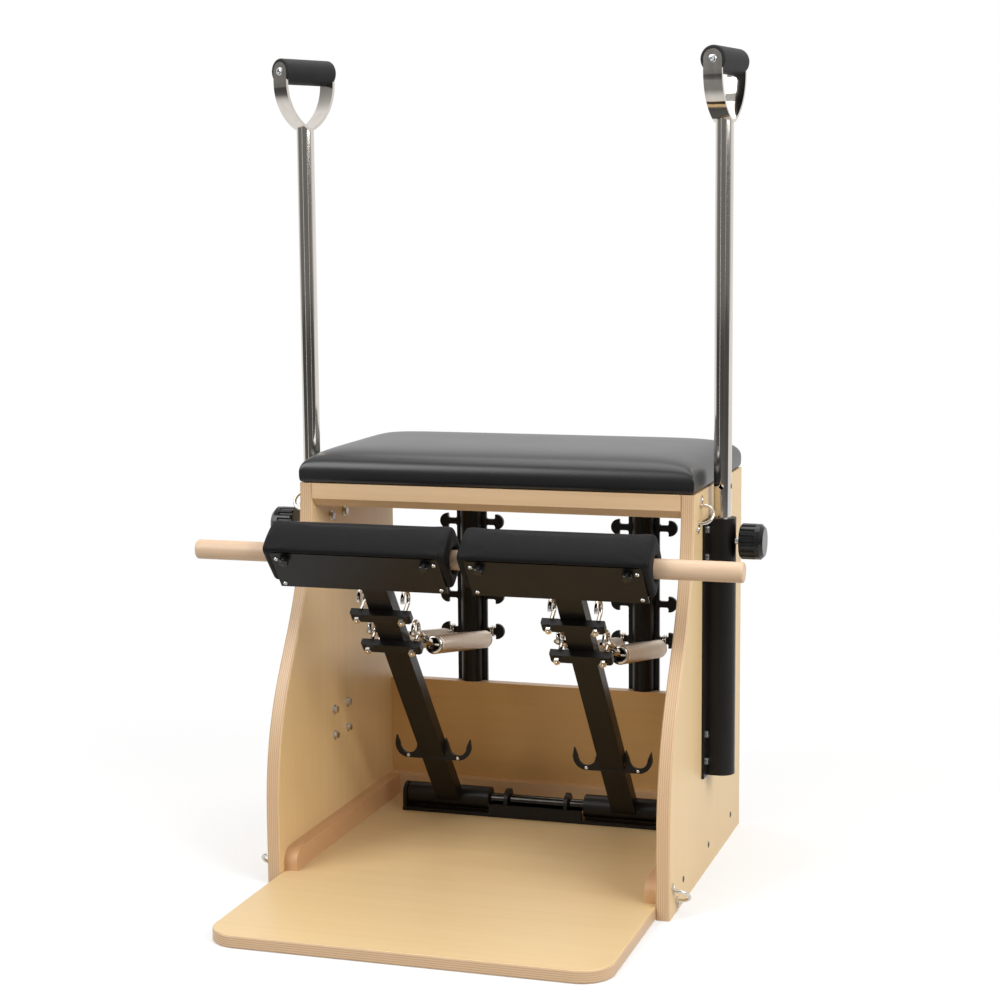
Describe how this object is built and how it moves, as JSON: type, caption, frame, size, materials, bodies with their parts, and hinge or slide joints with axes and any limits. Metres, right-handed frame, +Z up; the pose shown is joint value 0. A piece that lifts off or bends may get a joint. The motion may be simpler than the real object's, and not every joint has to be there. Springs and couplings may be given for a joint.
{
  "type": "pilates chair",
  "caption": "Plywood exercise chair with a padded seat, sprung pedals joined by a dowel, spring posts behind and lift-out hand poles at the sides.",
  "frame": {"origin": "on the floor under the middle of the whole chair's box", "axes": "+X to the viewer's right seen from the front, +Y to the back, +Z up; the pedals are at -Y"},
  "size_m": [0.799, 0.7714, 1.197],
  "materials": {
    "birch_ply": "clear satin lacquer over pale plywood",
    "beech": "sanded and lacquered",
    "black_vinyl": "smooth upholstery vinyl",
    "ribbed_pad": "fine diagonal ribs",
    "black_powder_coat": "satin black powder coat",
    "chrome": "polished",
    "spring_wire": "satin nickel",
    "axle_steel": "ground",
    "zinc_steel": "bright zinc",
    "bush_plastic": "plain",
    "black_plastic": "moulded",
    "black_rubber": "matt"
  },
  "bodies": {
    "frame": {"side_panel_left": "birch_ply", "side_panel_right": "birch_ply", "base_board": "birch_ply", "back_panel": "birch_ply", "rear_base_cleat": "birch_ply", "side_cleat_left": "birch_ply", "side_cleat_right": "birch_ply", "front_seat_rail": "birch_ply", "rear_seat_rail": "birch_ply", "seat_board": "birch_ply", "seat_cushion": "black_vinyl", "hinge_base": "black_powder_coat", "pivot_axle": "axle_steel", "footman_loops": "chrome", "holder_bolts": "zinc_steel", "spring_post_left": "black_powder_coat", "pole_holder_left": "black_powder_coat", "spring_post_right": "black_powder_coat", "pole_holder_right": "black_powder_coat"},
    "pedal_left": {"pedal_arm_left": "black_powder_coat", "pivot_bushes_left": "bush_plastic", "spring_loops_left": "chrome", "cradle_left": "black_powder_coat", "pedal_head_left": "black_powder_coat", "pedal_front_plate_left": "black_powder_coat", "pedal_pad_left": "ribbed_pad"},
    "pedal_right": {"pedal_arm_right": "black_powder_coat", "pivot_bushes_right": "bush_plastic", "spring_loops_right": "chrome", "cradle_right": "black_powder_coat", "pedal_head_right": "black_powder_coat", "pedal_front_plate_right": "black_powder_coat", "pedal_pad_right": "ribbed_pad"},
    "dowel": {"dowel": "beech"},
    "spring_left_outer": {"spring_eye_left_outer": "chrome", "spring_coil_left_outer": "spring_wire"},
    "snap_left_outer": {"spring_ring_left_outer": "chrome"},
    "spring_left_inner": {"spring_eye_left_inner": "chrome", "spring_coil_left_inner": "spring_wire"},
    "snap_left_inner": {"spring_ring_left_inner": "chrome"},
    "pole_foot_left": {"pole_glide_left": "black_plastic"},
    "pole_left": {"pole_left": "chrome", "handle_strap_left": "chrome", "handle_grip_left": "black_rubber"},
    "clamp_left": {"clamp_knob_left": "black_plastic", "clamp_stud_left": "zinc_steel"},
    "spring_right_outer": {"spring_eye_right_outer": "chrome", "spring_coil_right_outer": "spring_wire"},
    "snap_right_outer": {"spring_ring_right_outer": "chrome"},
    "spring_right_inner": {"spring_eye_right_inner": "chrome", "spring_coil_right_inner": "spring_wire"},
    "snap_right_inner": {"spring_ring_right_inner": "chrome"},
    "pole_foot_right": {"pole_glide_right": "black_plastic"},
    "pole_right": {"pole_right": "chrome", "handle_strap_right": "chrome", "handle_grip_right": "black_rubber"},
    "clamp_right": {"clamp_knob_right": "black_plastic", "clamp_stud_right": "zinc_steel"}
  },
  "joints": [
    {"name": "pedal_left_press", "type": "hinge", "parent": "frame", "child": "pedal_left", "pos_m": [-0.144, 0.25933, 0.043], "axis": [1, 0, 0], "range_deg": [0, 46], "stiffness_Nm_per_rad": 45, "springref_deg": -34.38},
    {"name": "pedal_right_press", "type": "hinge", "parent": "frame", "child": "pedal_right", "pos_m": [0.144, 0.25933, 0.043], "axis": [1, 0, 0], "range_deg": [0, 46], "stiffness_Nm_per_rad": 45, "springref_deg": -34.38},
    {"name": "dowel_pull", "type": "slide", "parent": "pedal_left", "child": "dowel", "axis": [1, 0, 0], "range_m": [0, 0.68]},
    {"name": "spring_left_outer_swing", "type": "hinge", "parent": "frame", "child": "spring_left_outer", "pos_m": [-0.178, 0.37633, 0.2895], "axis": [1, 0, 0], "range_deg": [0, 33]},
    {"name": "spring_left_outer_stretch", "type": "slide", "parent": "spring_left_outer", "child": "snap_left_outer", "axis": [0, -0.9869, 0.1616], "range_m": [0, 0.19], "deforming": ["spring_coil_left_outer"]},
    {"name": "spring_left_inner_swing", "type": "hinge", "parent": "frame", "child": "spring_left_inner", "pos_m": [-0.11, 0.37633, 0.2895], "axis": [1, 0, 0], "range_deg": [0, 33]},
    {"name": "spring_left_inner_stretch", "type": "slide", "parent": "spring_left_inner", "child": "snap_left_inner", "axis": [0, -0.9869, 0.1616], "range_m": [0, 0.19], "deforming": ["spring_coil_left_inner"]},
    {"name": "spring_right_outer_swing", "type": "hinge", "parent": "frame", "child": "spring_right_outer", "pos_m": [0.178, 0.37633, 0.2895], "axis": [1, 0, 0], "range_deg": [0, 33]},
    {"name": "spring_right_outer_stretch", "type": "slide", "parent": "spring_right_outer", "child": "snap_right_outer", "axis": [0, -0.9869, 0.1616], "range_m": [0, 0.19], "deforming": ["spring_coil_right_outer"]},
    {"name": "spring_right_inner_swing", "type": "hinge", "parent": "frame", "child": "spring_right_inner", "pos_m": [0.11, 0.37633, 0.2895], "axis": [1, 0, 0], "range_deg": [0, 33]},
    {"name": "spring_right_inner_stretch", "type": "slide", "parent": "spring_right_inner", "child": "snap_right_inner", "axis": [0, -0.9869, 0.1616], "range_m": [0, 0.19], "deforming": ["spring_coil_right_inner"]},
    {"name": "pole_left_height", "type": "slide", "parent": "frame", "child": "pole_foot_left", "axis": [0, 0, 1], "range_m": [-0.07, 0.16]},
    {"name": "pole_left_turn", "type": "hinge", "parent": "pole_foot_left", "child": "pole_left", "pos_m": [-0.32, 0.12933, 0.232], "axis": [0, 0, 1], "range_deg": [-90, 90]},
    {"name": "clamp_left_turn", "type": "hinge", "parent": "frame", "child": "clamp_left", "pos_m": [-0.34, 0.12933, 0.494], "axis": [-1, 0, 0], "range_deg": [0, 360]},
    {"name": "pole_right_height", "type": "slide", "parent": "frame", "child": "pole_foot_right", "axis": [0, 0, 1], "range_m": [-0.07, 0.16]},
    {"name": "pole_right_turn", "type": "hinge", "parent": "pole_foot_right", "child": "pole_right", "pos_m": [0.32, 0.12933, 0.232], "axis": [0, 0, 1], "range_deg": [-90, 90]},
    {"name": "clamp_right_turn", "type": "hinge", "parent": "frame", "child": "clamp_right", "pos_m": [0.34, 0.12933, 0.494], "axis": [1, 0, 0], "range_deg": [0, 360]}
  ],
  "couplings": [
    {"joint": "pedal_right_press", "follows": "pedal_left_press", "ratio": 1},
    {"joint": "spring_left_outer_swing", "follows": "pedal_left_press", "ratio": 0.69908},
    {"joint": "spring_left_outer_stretch", "follows": "pedal_left_press", "m_per_rad": 0.23006},
    {"joint": "spring_left_inner_swing", "follows": "pedal_left_press", "ratio": 0.69908},
    {"joint": "spring_left_inner_stretch", "follows": "pedal_left_press", "m_per_rad": 0.23006},
    {"joint": "spring_right_outer_swing", "follows": "pedal_left_press", "ratio": 0.69908},
    {"joint": "spring_right_outer_stretch", "follows": "pedal_left_press", "m_per_rad": 0.23006},
    {"joint": "spring_right_inner_swing", "follows": "pedal_left_press", "ratio": 0.69908},
    {"joint": "spring_right_inner_stretch", "follows": "pedal_left_press", "m_per_rad": 0.23006}
  ]
}
